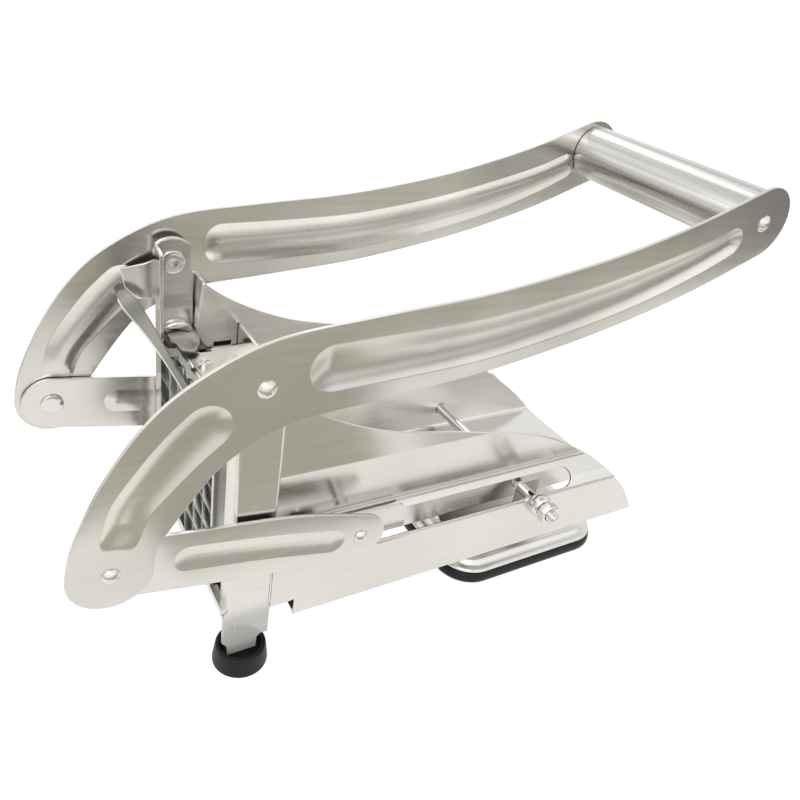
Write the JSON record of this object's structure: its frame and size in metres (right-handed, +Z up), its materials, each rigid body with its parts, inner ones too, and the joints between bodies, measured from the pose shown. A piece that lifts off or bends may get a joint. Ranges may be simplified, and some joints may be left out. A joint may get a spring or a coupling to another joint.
{
  "type": "french fry cutter",
  "caption": "Hand-lever french fry cutter in bent sheet steel: a twin-arm handle drives a studded pusher along an open trough into a lift-out blade grid; two feet and a suction pad.",
  "frame": {"origin": "middle of the suction pad's underside, on the table", "axes": "+X back towards the grip end, +Y to the right-hand side seen from behind the grip end's front, away from the pictured side, +Z up"},
  "size_m": [0.3306, 0.1412, 0.2117],
  "materials": {
    "sheet": "brushed",
    "bright": "polished",
    "blade": "ground",
    "grip_steel": "coarsely brushed",
    "stem_plastic": "matte",
    "bush_plastic": "matte",
    "foot_rubber": "matte",
    "pad_rubber": "satin"
  },
  "bodies": {
    "base": {"trough": "sheet", "left_skirt": "sheet", "right_skirt": "sheet", "left_upright": "sheet", "right_upright": "sheet", "front_brace": "bright", "front_sill": "sheet", "left_blade_clip": "bright", "right_blade_clip": "bright", "pivot_rivets": "bright", "pivot_spacers": "bright", "left_foot": "foot_rubber", "right_foot": "foot_rubber", "rubber_pad": "pad_rubber", "pad_cover": "sheet", "left_pad_hanger": "sheet", "right_pad_hanger": "sheet", "cross_rod": "bright", "cross_rod_nuts": "bright", "cross_rod_washers": "sheet"},
    "cartridge": {"cartridge_frame": "sheet", "vertical_blades": "blade", "horizontal_blades": "blade"},
    "pusher": {"press_plate": "sheet", "press_studs": "sheet", "pusher_box": "sheet", "pusher_back": "sheet", "pusher_stem": "stem_plastic", "pusher_screws": "bright", "carriage": "sheet", "link_pins": "bright"},
    "handle": {"left_arm": "sheet", "right_arm": "sheet", "front_rivets": "bright", "grip_rod": "bright"},
    "left_link_arm": {"left_link": "sheet", "left_rear_rivet": "bright"},
    "right_link_arm": {"right_link": "sheet", "right_rear_rivet": "bright"},
    "grip": {"grip_tube": "grip_steel", "grip_bushes": "bush_plastic"}
  },
  "joints": [
    {"name": "handle_swing", "type": "hinge", "parent": "base", "child": "handle", "pos_m": [-0.1665, 0, 0.143], "axis": [0, -1, 0], "range_deg": [0, 65]},
    {"name": "pusher_slide", "type": "slide", "parent": "base", "child": "pusher", "axis": [1, 0, 0], "range_m": [0, 0.0939]},
    {"name": "left_link_swing", "type": "hinge", "parent": "handle", "child": "left_link_arm", "pos_m": [-0.2201, -0.0571, 0.0747], "axis": [0, 1, 0], "range_deg": [0, 60]},
    {"name": "right_link_swing", "type": "hinge", "parent": "handle", "child": "right_link_arm", "pos_m": [-0.2201, 0.0571, 0.0747], "axis": [0, 1, 0], "range_deg": [0, 60]},
    {"name": "grip_spin", "type": "hinge", "parent": "handle", "child": "grip", "pos_m": [0.0782, 0, 0.1945], "axis": [0, 1, 0], "continuous": true},
    {"name": "cartridge_lift", "type": "slide", "parent": "base", "child": "cartridge", "axis": [0, 0, 1], "range_m": [0, 0.09]}
  ],
  "couplings": [
    {"joint": "pusher_slide", "follows": "handle_swing", "m_per_rad": 0.082744},
    {"joint": "left_link_swing", "follows": "handle_swing", "ratio": 0.92264},
    {"joint": "right_link_swing", "follows": "handle_swing", "ratio": 0.92264}
  ]
}
